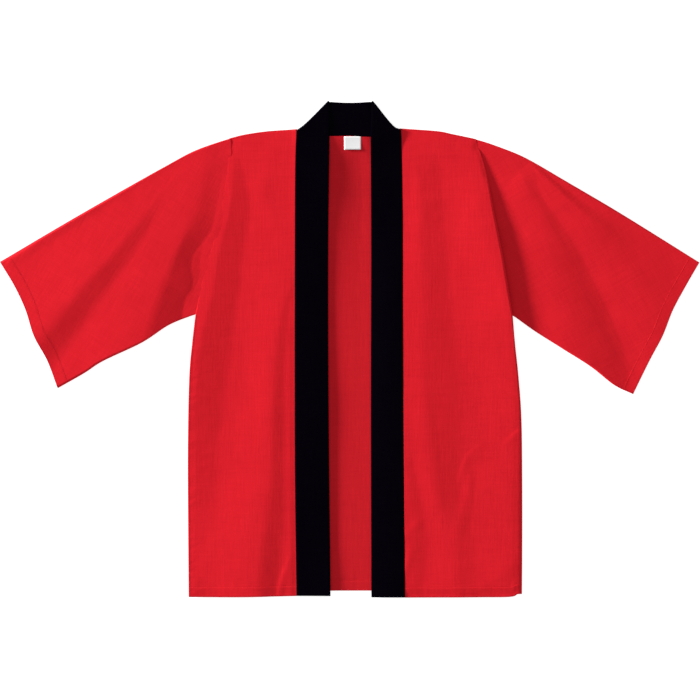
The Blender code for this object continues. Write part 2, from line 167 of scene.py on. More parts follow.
def foldRise(plan, rows, crown=0.35, foot=0.35):
    path = smoothCurve(rows, 12)
    shape = plan.shape[:-1]
    flat = plan.reshape(-1, 2)
    reach = path[:, 2:4].max()
    low, high = path[:, :2].min(axis=0) - reach, path[:, :2].max(axis=0) + reach
    near = np.flatnonzero(((flat > low) & (flat < high)).all(axis=1))
    rise = np.zeros(len(flat))
    if len(near):
        point = flat[near]
        start, step = path[:-1, :2], np.diff(path[:, :2], axis=0)
        toPoint = point[:, None] - start
        share = np.clip((toPoint * step).sum(axis=2) / (step ** 2).sum(axis=1), 0, 1)
        away = toPoint - share[..., None] * step
        gap = np.linalg.norm(away, axis=2)
        k = gap.argmin(axis=1)
        pick = np.arange(len(point))
        share, gap, away = share[pick, k], gap[pick, k], away[pick, k]
        fallSide = step[k, 0] * away[:, 1] - step[k, 1] * away[:, 0] > 0
        lead, fall, height = (path[k, c] + (path[k + 1, c] - path[k, c]) * share for c in (2, 3, 4))
        rise[near] = height * np.where(fallSide, slopeDown(gap / fall, crown, foot),
                                       slopeDown(gap / lead, 0.25, 0.35))
    return rise.reshape(shape)


def ripple(plan, size, height, seed, stretch=(1.0, 1.0)):
    # smooth random unevenness, cells of the given size
    values = np.random.default_rng(seed).uniform(-1, 1, (64, 64))
    x = plan[..., 0] / (size * stretch[0]) + 100.37
    y = plan[..., 1] / (size * stretch[1]) + 100.71
    i, j = np.floor(x).astype(int), np.floor(y).astype(int)
    a, b = ease(x - i), ease(y - j)

    def at(di, dj):
        return values[(i + di) % 64, (j + dj) % 64]

    low = at(0, 0) * (1 - a) + at(1, 0) * a
    high = at(0, 1) * (1 - a) + at(1, 1) * a
    return height * (low * (1 - b) + high * b)


unevenness = {"broad": (0.040, 0.00016), "fine": (0.016, 0.00005)}     # size and height of the waves


def uneven(plan, seed, stretch):
    return (ripple(plan, *unevenness["broad"], seed, stretch)
            + ripple(plan, *unevenness["fine"], seed + 1))


# Meshes

def addMesh(name, points, faces, material):
    mesh = bpy.data.meshes.new(name)
    mesh.from_pydata(np.asarray(points).reshape(-1, 3).tolist(), [], faces)
    mesh.shade_smooth()
    mesh.materials.append(material)
    obj = bpy.data.objects.new(name, mesh)
    bpy.context.scene.collection.objects.link(obj)
    return obj


def gridFaces(count, columns, closed=False):
    first = np.arange(count - 1)[:, None] * columns
    j = np.arange(columns if closed else columns - 1)[None]
    k = (j + 1) % columns
    return np.stack((first + j, first + k, first + k + columns, first + j + columns),
                    axis=-1).reshape(-1, 4).tolist()


def addWall(obj, thickness, offset):
    wall = obj.modifiers.new("wall", "SOLIDIFY")
    wall.thickness = thickness
    wall.offset = offset
    wall.use_even_offset = False


hem = {
    "turn": 0.0165, "cuffTurn": 0.0190,    # stitch line from the hem and from the cuff
    "lines": (0.003, 14),                  # reach and number of the mesh lines round the stitch line
    "fullness": 0.0003, "fullnessFade": 0.0030,      # the turned hem stands a little higher
    "groove": 0.00020, "grooveWidth": 0.0010,
    "pucker": 0.00013, "puckerSize": 0.0075, "puckerReach": 0.0120,
    "stitch": 0.0024, "gap": 0.0010, "thread": 0.00024,
}


def hemRelief(distance, line, plan, seed):
    # thicker turned edge, the groove that the stitches pull in, and the puckers beside it
    fromLine = distance - line
    pull = ripple(plan, hem["puckerSize"], 1.0, seed, (1.0, 3.0))
    relief = hem["fullness"] * ease(0.5 - fromLine / hem["fullnessFade"])
    relief -= hem["groove"] * np.exp(-(fromLine / hem["grooveWidth"]) ** 2) * (1 + 0.5 * pull)
    return relief + hem["pucker"] * pull * np.exp(-np.abs(fromLine) / hem["puckerReach"])


def addStitches(name, lines, material, seed):
    # short rounded threads end to end along each line, lying in the groove
    random = np.random.default_rng(seed)
    points, faces = [], []
    around = np.linspace(0, 2 * math.pi, 6, endpoint=False)
    profile = ((-0.50, 0.0), (-0.42, 0.75), (-0.20, 1.0), (0.20, 1.0), (0.42, 0.75), (0.50, 0.0))
    for line in lines:
        length = np.linalg.norm(np.diff(line, axis=0), axis=1).sum()
        pitch = hem["stitch"] + hem["gap"]
        for place in np.arange(pitch, length - pitch, pitch):
            share = (place + random.uniform(-0.0002, 0.0002)) / length
            ahead = hem["stitch"] / 2 / length
            start, end = along(line, share - ahead), along(line, share + ahead)
            middle, way = (start + end) / 2, end - start
            long = np.linalg.norm(way)
            way = way / long
            side = np.cross(way, (0, 0, 1))
            side /= np.linalg.norm(side)
            up = np.cross(side, way)
            first = len(points)
            for t, size in profile:
                for a in around:
                    r = hem["thread"] * max(size, 0.05)
                    points.append(middle + way * t * long
                                  + (side * math.cos(a) + up * math.sin(a)) * r)
            for ring in range(len(profile) - 1):
                for k in range(6):
                    a, b = first + ring * 6 + k, first + ring * 6 + (k + 1) % 6
                    faces.append((a, b, b + 6, a + 6))
            faces.append(tuple(range(first, first + 6))[::-1])
            faces.append(tuple(range(first + 30, first + 36)))
    piece = addMesh(name, points, faces, material)
    declare(piece, None)
    return piece


# Painted shade: how much the cloth's colour is darkened near its outline, where it turns over, standing in
# for the shade there
paintedEdgeShade = {
    "right": {"shoulder": 0.14, "side": 0.24, "hem": 0.10, "fold": 0.28, "cuff": 0.06, "under": 0.0},
    "left": {"shoulder": 0.10, "side": 0.0, "hem": 0.09, "fold": 0.0, "cuff": 0.10, "under": 0.20},
    "full": 0.0012, "faded": 0.0040,
}


def paintedShadeFade(distance):
    return 1 - ease((distance - paintedEdgeShade["full"]) / (paintedEdgeShade["faded"] - paintedEdgeShade["full"]))


# keeps the painted edge shade on the mesh as a point attribute
def setPaintedShade(obj, values):
    layer = obj.data.attributes.new("paintedEdgeShade", "FLOAT", "POINT")
    layer.data.foreach_set("value", np.clip(values, 0, 1).ravel().astype(np.float32))


def declare(obj, node):
    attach(obj, "root")
    if node:
        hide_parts(node)


# Shader maths: a Link is an output socket that takes part in Python expressions

class Link:
    def __init__(self, tree, socket):
        self.tree, self.socket = tree, socket

    def node(self, kind, settings=None, sockets=None, out=0):
        made = self.tree.nodes.new(kind)
        for name, value in (settings or {}).items():
            setattr(made, name, value)
        for name, value in (sockets or {}).items():
            if isinstance(value, Link):
                self.tree.links.new(value.socket, made.inputs[name])
            else:
                made.inputs[name].default_value = value
        return Link(self.tree, made.outputs[out])

    def maths(self, operation, first, second=0.0):
        return self.node("ShaderNodeMath", {"operation": operation}, {0: first, 1: second})

    def __add__(self, other):
        return self.maths("ADD", self, other)

    def __sub__(self, other):
        return self.maths("SUBTRACT", self, other)

    def __rsub__(self, other):
        return self.maths("SUBTRACT", other, self)

    def __mul__(self, other):
        return self.maths("MULTIPLY", self, other)

    __radd__ = __add__
    __rmul__ = __mul__

    def mix(self, low, high):
        # a colour between low and high by this value
        return self.node("ShaderNodeMix", {"data_type": "RGBA"}, {0: self, 6: low, 7: high}, out=2)


def newMaterial(name):
    material = bpy.data.materials.new(name)
    material.use_nodes = True
    tree = material.node_tree
    return material, tree.nodes["Principled BSDF"], Link(tree, None)


def feed(shader, name, value):
    if isinstance(value, Link):
        value.tree.links.new(value.socket, shader.inputs[name])
    else:
        shader.inputs[name].default_value = value


def noise(start, where, scale, detail=2.0, roughness=0.5):
    return start.node("ShaderNodeTexNoise", {}, {"Vector": where, "Scale": scale, "Detail": detail,
                                                 "Roughness": roughness})


redCloth = {
    "deep": (0.585, 0.0080, 0.0165, 1),
    "pale": (0.735, 0.0150, 0.0250, 1),
    "thread": 0.0011,       # pitch of the yarns
    "slub": 0.35,           # how strong the thick and thin places of the yarns show
    "bump": 0.30,
    "roughness": 0.95,
    "specular": 0.06,
}


yarn = {"warp": 420, "weft": 380, "cloud": 28, "grain": 700, "drawn": 0.06, "depth": 0.0006}


def cottonMaterial(name, look, turn=0.0):
    # plain weave: yarns along and across, uneven in thickness, turned with the cut of the piece
    material, shader, start = newMaterial(name)
    place = start.node("ShaderNodeTexCoord", out=3)
    lay = start.node("ShaderNodeMapping", {}, {"Vector": place, "Rotation": (0, 0, turn)})
    pitch = 2 * math.pi / look["thread"] / 20
    warp = start.node("ShaderNodeTexWave", {"wave_type": "BANDS", "bands_direction": "X"},
                      {"Vector": lay, "Scale": pitch, "Distortion": 0.0})
    weft = start.node("ShaderNodeTexWave", {"wave_type": "BANDS", "bands_direction": "Y"},
                      {"Vector": lay, "Scale": pitch, "Distortion": 0.0})
    warpPlace = start.node("ShaderNodeMapping", {}, {"Vector": lay, "Scale": (1.0, yarn["drawn"], 1.0)})
    weftPlace = start.node("ShaderNodeMapping", {}, {"Vector": lay, "Scale": (yarn["drawn"], 1.0, 1.0)})
    warpSlub = noise(start, warpPlace, yarn["warp"], 1.0)
    weftSlub = noise(start, weftPlace, yarn["weft"], 1.0)
    cloud = noise(start, place, yarn["cloud"], 3.0)
    grain = noise(start, place, yarn["grain"], 1.0)
    slub = (warpSlub - 0.5) + (weftSlub - 0.5)
    weave = warp * (1 - weft) + weft * (1 - warp)
    shade = 0.5 + slub * look["slub"] * 1.3 + (grain - 0.5) * 0.5 + (cloud - 0.5) * 0.35
    # painted shade: the cloth's colour is darkened by the painted edge shade kept on the mesh
    edgeShadePaint = start.node("ShaderNodeAttribute", {"attribute_name": "paintedEdgeShade"}, out=2)
    colour = start.node("ShaderNodeVectorMath", {"operation": "SCALE"},
                        {0: shade.mix(look["deep"], look["pale"]), "Scale": 1 - edgeShadePaint})
    height = weave * 0.25 + slub * 0.6 + grain * 0.5
    normal = start.node("ShaderNodeBump", {}, {"Height": height, "Strength": look["bump"],
                                               "Distance": yarn["depth"]})
    feed(shader, "Base Color", colour)
    feed(shader, "Normal", normal)
    shader.inputs["Roughness"].default_value = look["roughness"]
    shader.inputs["Specular IOR Level"].default_value = look["specular"]
    return material


def plainMaterial(name, colour, roughness, specular=0.2):
    material, shader, start = newMaterial(name)
    feed(shader, "Base Color", colour)
    feed(shader, "Roughness", roughness)
    shader.inputs["Specular IOR Level"].default_value = specular
    return material


blackCloth = {
    "deep": (0.0008, 0.0004, 0.0016, 1),
    "pale": (0.0022, 0.0013, 0.0034, 1),
    "thread": 0.0009,
    "slub": 0.3,
    "bump": 0.3,
    "roughness": 1.0,
    "specular": 0.0,
}
# a darker copy of the red cloth, used for the back panel whose inside shows between the collar's edges
insideCloth = dict(redCloth, deep=(0.520, 0.0085, 0.0165, 1), pale=(0.640, 0.0140, 0.0225, 1))
bodyCotton = cottonMaterial("red cotton body", redCloth)
insideCotton = cottonMaterial("red cotton inside", insideCloth)
sleeveCotton = {side: cottonMaterial(f"red cotton {side} sleeve", redCloth, -signs[side] * math.radians(30))
                for side in signs}
collarCotton = cottonMaterial("black cotton collar", blackCloth)
labelTape = plainMaterial("white label tape", (0.90, 0.90, 0.90, 1), 0.6)
threadRed = plainMaterial("red thread", (0.68, 0.014, 0.022, 1), 0.8)
print("materials made")


# Fronts

front = {
    "thickness": 0.0008, "length": 0.80, "width": 0.19,
    # y, height of the middle of the cloth over the table at the collar and at the outer edge
    "lie": {
        "right": [(0.38, 0.0036, 0.0041), (0.345, 0.0048, 0.0039), (0.3, 0.0052, 0.0034),
                  (0.25, 0.0047, 0.0025), (0.2, 0.0044, 0.0018), (0.15, 0.0042, 0.0016),
                  (0.1, 0.004, 0.0013), (0.06, 0.0039, 0.0013), (0, 0.0037, 0.0016),
                  (-0.1, 0.0035, 0.0016), (-0.25, 0.0031, 0.0018), (-0.424, 0.0025, 0.0018)],
        "left": [(0.38, 0.0036, 0.004), (0.36, 0.0036, 0.0038), (0.345, 0.004, 0.0037),
                 (0.32, 0.0048, 0.0042), (0.3, 0.0054, 0.0051), (0.275, 0.0059, 0.0066),
                 (0.25, 0.0064, 0.008), (0.2, 0.0069, 0.0099), (0.15, 0.0072, 0.011),
                 (0.05, 0.0071, 0.0108), (0, 0.0067, 0.0086), (-0.1, 0.0056, 0.0066),
                 (-0.2, 0.0052, 0.005), (-0.3, 0.0048, 0.0044), (-0.424, 0.005, 0.005)],
    },
    "armpitShare": 0.4,
    "rows": int(370 * fineness),
    "columns": int(92 * fineness),
    "curlSteps": 8,
    "tuck": 0.006,          # how far the rolled edge runs back under
    # depth and width of the rounding at the shoulder line and at the hem's edge
    "shoulderDip": (0.0004, 0.0010), "hemDip": (0.0007, 0.0015),
    # the turned hem leans down to its edge, which turns up a little
    "hemSink": {"right": 0.0004, "left": 0.0009}, "hemLift": 0.0002, "hemLiftReach": 0.0040,
    # y, how far the cloth dips beside the collar, over what width
    "seamDip": {
        "right": [(0.38, -0.0003, 0.01), (0.25, -0.0002, 0.01), (0.15, 0.0001, 0.01),
                  (0, 0.0002, 0.01), (-0.424, 0.0004, 0.01)],
        "left": [(0.38, 0.0001, 0.012), (0, 0.0001, 0.012), (-0.2, 0, 0.012),
                 (-0.424, -0.0001, 0.012)],
    },
    "shoulderFall": {"right": 0.0009, "left": 0.0014}, "shoulderReach": 0.050,
    "rimDip": {"right": 0.0, "left": 0.00010}, "rimReach": 0.007,
    "sideReach": 0.030,     # reach, height and size of the puckers along the outer seam
    "sidePucker": 0.00014, "sidePuckerSize": 0.0065, "sideTop": 0.06, "sideFade": 0.05,
    # y, drop of the rolled edge from its top to its lower lip, radius of the roll across
    "edge": {
        "right": [(0.365, 0.0003, 0.0008), (0.1, 0.0003, 0.0008), (0.06, 0.0005, 0.001),
                  (0.03, 0.0012, 0.0012), (-0.424, 0.001, 0.001)],
        "left": [(0.365, 0.0003, 0.001), (0.33, 0.0004, 0.002), (0.31, 0.0008, 0.0026),
                 (0.28, 0.0022, 0.003), (0.24, 0.0038, 0.0036), (0.1, 0.0046, 0.0038),
                 (0.06, 0.0044, 0.0024), (0.03, 0.0014, 0.0014), (0, 0.0014, 0.003),
                 (-0.06, 0.0015, 0.004), (-0.1, 0.0018, 0.0055), (-0.15, 0.0022, 0.007),
                 (-0.2, 0.0027, 0.008), (-0.3, 0.0032, 0.011), (-0.37, 0.0032, 0.011),
                 (-0.39, 0.0034, 0.009), (-0.41, 0.004, 0.009), (-0.424, 0.004, 0.005)],
    },
    "least": 0.0012,        # lowest that the lip lies
    "folds": {
        "right": {
            "besideSleeve": (0.15, 0.25, [
                (-0.2, 0.34, 0.03, 0.008, 0), (-0.202, 0.3, 0.03, 0.024, 0.0007),
                (-0.2065, 0.25, 0.07, 0.04, 0.0017), (-0.219, 0.2, 0.1, 0.048, 0.0022),
                (-0.231, 0.15, 0.11, 0.053, 0.0025), (-0.238, 0.1, 0.12, 0.055, 0.0026),
                (-0.252, 0.05, 0.12, 0.062, 0.003), (-0.262, 0, 0.11, 0.067, 0.0031),
                (-0.266, -0.05, 0.09, 0.062, 0.0028), (-0.268, -0.1, 0.08, 0.058, 0.0024),
                (-0.269, -0.15, 0.07, 0.052, 0.0017), (-0.268, -0.2, 0.06, 0.046, 0.0011),
                (-0.266, -0.3, 0.04, 0.044, 0.0006), (-0.268, -0.424, 0.04, 0.05, 0.0006)]),
            "panel": (0.35, 0.3, [
                (-0.1, 0.12, 0.05, 0.01, 0), (-0.116, 0.07, 0.05, 0.014, 0.0004),
                (-0.1295, 0, 0.055, 0.024, 0.0008), (-0.1355, -0.1, 0.06, 0.027, 0.0011),
                (-0.1385, -0.2, 0.085, 0.031, 0.0015), (-0.143, -0.25, 0.1, 0.038, 0.0019),
                (-0.1505, -0.3, 0.12, 0.045, 0.0023), (-0.157, -0.35, 0.14, 0.046, 0.0026),
                (-0.164, -0.424, 0.16, 0.046, 0.0027)]),
            "upper": (0.4, 0.4, [
                (-0.152, 0.325, 0.03, 0.02, 0), (-0.15, 0.275, 0.03, 0.022, 0.0003),
                (-0.144, 0.23, 0.03, 0.018, 0)]),
            "crease": (0.4, 0.4, [
                (-0.098, -0.345, 0.006, 0.012, 0), (-0.11, -0.375, 0.006, 0.014, 0.0003),
                (-0.118, -0.4, 0.006, 0.014, 0.0004), (-0.122, -0.424, 0.006, 0.01, 0.0003)]),
            "corner": (0.4, 0.4, [
                (-0.284, -0.34, 0.01, 0.01, 0), (-0.282, -0.38, 0.01, 0.024, 0.0004),
                (-0.28, -0.4, 0.01, 0.034, 0.0009), (-0.276, -0.424, 0.01, 0.034, 0.0009)]),
        },
        "left": {
            "besideSleeve": (0.5, 0.4, [
                (0.216, 0.357, 0.008, 0.006, 0), (0.219, 0.345, 0.013, 0.006, -0.0006),
                (0.2235, 0.335, 0.008, 0.006, -0.0003), (0.2285, 0.322, 0.009, 0.006, -0.0004),
                (0.2328, 0.308, 0.01, 0.006, -0.0006), (0.2368, 0.292, 0.009, 0.006, -0.0004),
                (0.2405, 0.272, 0.008, 0.006, 0)]),
            "trough": (0.35, 0.22, [
                (0.15, 0.335, 0.02, 0.03, 0), (0.157, 0.3, 0.034, 0.056, -0.0006),
                (0.165, 0.25, 0.04, 0.06, -0.001), (0.168, 0.2, 0.045, 0.064, -0.0012),
                (0.178, 0.1, 0.058, 0.096, -0.002), (0.19, 0, 0.07, 0.102, -0.0019),
                (0.2, -0.1, 0.072, 0.096, -0.0015), (0.193, -0.2, 0.054, 0.102, -0.0013),
                (0.197, -0.25, 0.045, 0.09, -0.0009), (0.212, -0.3, 0.042, 0.074, -0.0009),
                (0.219, -0.35, 0.048, 0.07, -0.0009), (0.224, -0.424, 0.048, 0.06, -0.0007)]),
            "panel": (0.3, 0.35, [
                (0.112, 0.325, 0.014, 0.012, 0), (0.115, 0.3, 0.016, 0.016, 0.0002),
                (0.118, 0.25, 0.022, 0.02, 0.0004), (0.118, 0.2, 0.024, 0.022, 0.0004),
                (0.116, 0.1, 0.022, 0.02, 0.0001), (0.118, 0, 0.024, 0.022, 0.0001),
                (0.126, -0.1, 0.03, 0.022, 0.0004), (0.138, -0.2, 0.03, 0.022, 0.0003),
                (0.148, -0.245, 0.03, 0.018, 0.0003), (0.155, -0.268, 0.03, 0.012, 0.0002),
                (0.157, -0.285, 0.03, 0.008, 0)]),
            "nearCollar": (0.3, 0.35, [
                (0.106, -0.17, 0.01, 0.014, 0), (0.11, -0.2, 0.012, 0.018, -0.0002),
                (0.121, -0.25, 0.02, 0.028, -0.0004), (0.13, -0.3, 0.024, 0.034, -0.0005),
                (0.132, -0.35, 0.026, 0.034, -0.0005), (0.13, -0.424, 0.026, 0.036, -0.0003)]),
            "corner": (0.3, 0.3, [
                (0.298, -0.345, 0.1, 0.01, 0), (0.276, -0.366, 0.1, 0.03, 0.0007),
                (0.248, -0.386, 0.1, 0.036, 0.0011), (0.218, -0.408, 0.1, 0.036, 0.0008),
                (0.2, -0.424, 0.1, 0.03, 0.0004)]),
            "byCollar": (0.3, 0.4, [
                (0.126, -0.292, 0.01, 0.01, 0), (0.114, -0.3, 0.012, 0.016, 0.0003),
                (0.1, -0.314, 0.012, 0.016, 0.0002), (0.094, -0.324, 0.012, 0.016, 0)]),
            "byCollarLow": (0.3, 0.4, [
                (0.104, -0.328, 0.01, 0.008, 0), (0.103, -0.348, 0.01, 0.014, 0.0003),
                (0.099, -0.368, 0.01, 0.012, 0.0003), (0.094, -0.39, 0.01, 0.01, 0)]),
            "lower": (0.3, 0.4, [
                (0.204, -0.205, 0.014, 0.008, 0), (0.204, -0.235, 0.016, 0.012, 0.0003),
                (0.197, -0.27, 0.018, 0.015, 0.0003), (0.189, -0.3, 0.02, 0.017, 0.0002),
                (0.184, -0.34, 0.022, 0.018, 0.0001), (0.184, -0.38, 0.022, 0.018, 0.0001),
                (0.186, -0.424, 0.022, 0.018, 0.0002)]),
            "pinch": (0.4, 0.4, [
                (0.232, -0.16, 0.006, 0.02, 0), (0.204, -0.18, 0.006, 0.02, 0.00018),
                (0.191, -0.21, 0.006, 0.016, 0.00018), (0.186, -0.245, 0.008, 0.012, 0)]),
            "atSide": (0.2, 0.5, [
                (0.296, -0.135, 0.006, 0.024, 0.00035), (0.279, -0.148, 0.006, 0.024, 0.00035),
                (0.258, -0.168, 0.006, 0.02, 0)]),
        },
    },
}


def frontRows(side):
    sign = signs[side]
    v = packed(front["rows"], front["length"], 0.0020, [(hem["turn"], *hem["lines"])])
    u = 1 - (1 - packed(front["columns"], front["width"], 0.0010)) ** 1.1
    split = front["armpitShare"]
    armhole = along(edge("armhole", side), v[v < split] / split)
    flank = along(edge("side", side), (v[v >= split] - split) / (1 - split))
    outer = np.vstack((armhole, flank))
    inner = along(edge("collarSeam", side), v)
    drop, round_ = table(front["edge"][side], outer[:, 1])
    drawn = np.column_stack((sign * (round_ + front["thickness"] / 2), np.zeros(len(v))))
    top = along(edge("shoulder", side), u)
    bottom = along(edge("hem", side), u)
    top = top - (u ** 6)[:, None] * drawn[0]
    bottom = bottom - (u ** 6)[:, None] * drawn[-1]
    plan = coons(top, bottom, inner, outer - drawn, u, v)
    atSeam, atEdge = table(front["lie"][side], plan[..., 1])
    height = atSeam + (atEdge - atSeam) * u
    for crown, foot, rows in front["folds"][side].values():
        height += foldRise(plan, rows, crown, foot)
    height += uneven(plan, 11, (1, 1.8))
    fromSeam = np.abs(plan[..., 0] - inner[:, None, 0])
    fromEdge = np.linalg.norm(plan - plan[:, -1:], axis=2)
    fromTop = np.linalg.norm(plan - plan[:1], axis=2)
    fromHem = np.linalg.norm(plan - plan[-1:], axis=2)
    dip, reach = table(front["seamDip"][side], plan[..., 1])
    height -= dip * (1 - ease(fromSeam / reach))
    height -= front["shoulderFall"][side] * np.clip(1 - fromTop / front["shoulderReach"], 0, 1) ** 2
    height -= front["rimDip"][side] * (1 - ease(fromEdge / front["rimReach"]))
    slant = np.stack((plan[..., 0], plan[..., 1] + sign * 0.5 * plan[..., 0]), axis=2)
    height += (ripple(slant, front["sidePuckerSize"], front["sidePucker"], 13, (4, 1))
               * np.exp(-fromEdge / front["sideReach"])
               * ease((front["sideTop"] - plan[..., 1]) / front["sideFade"]))
    height += hemRelief(fromHem, hem["turn"], plan, 14)
    lean = (hem["turn"] - fromHem) / (hem["turn"] - front["hemLiftReach"])
    height -= front["hemSink"][side] * np.clip(lean, 0, 1)
    height += front["hemLift"] * np.clip(1 - fromHem / front["hemLiftReach"], 0, 1)
    for distance, (depth, width) in ((fromTop, front["shoulderDip"]), (fromHem, front["hemDip"])):
        height -= depth * (1 - quarterRound(distance / width))
    rows = np.dstack((plan, height))
    stitchLine = alongSheet(rows, hem["turn"]) + (0, 0, front["thickness"] / 2 + hem["thread"] / 2)
    crest = rows[:, -1]
    lip = np.maximum(crest[:, 2] - drop, front["least"])
    turn = np.linspace(0, math.pi, front["curlSteps"] + 1)[1:]
    curl = [np.column_stack((crest[:, 0] + sign * round_ * math.sin(a), crest[:, 1],
                             lip + (crest[:, 2] - lip) * (1 + math.cos(a)) / 2)) for a in turn]
    under = [np.column_stack((crest[:, 0] - sign * front["tuck"] * share, crest[:, 1], lip))
             for share in (0.5, 1.0)]
    # painted shade in the cloth's colour along the shoulder, the hem and the outer side edge
    atSide = paintedEdgeShade[side]["side"] * ease((landmark("armpit", side)[1] - plan[:, -1:, 1]) / 0.004)
    shade = (paintedEdgeShade[side]["shoulder"] * paintedShadeFade(fromTop) + paintedEdgeShade[side]["hem"] * paintedShadeFade(fromHem)
             + atSide * paintedShadeFade(fromEdge))
    shade = np.hstack((shade, np.repeat(shade[:, -1:], len(curl + under), axis=1)))
    return np.concatenate((rows, np.stack(curl + under, axis=1)), axis=1), stitchLine, shade


stitchLines = []
for side in signs:
    rows, stitchLine, shade = frontRows(side)
    stitchLines.append(stitchLine)
    if side == "left":
        rows, shade = rows[:, ::-1], shade[:, ::-1]
    piece = addMesh(f"frontCloth_{side}", rows, gridFaces(*rows.shape[:2]), bodyCotton)
    setPaintedShade(piece, shade)
    addWall(piece, front["thickness"], 0)
    declare(piece, f"front_{side}")
print("fronts made")


# Sleeves

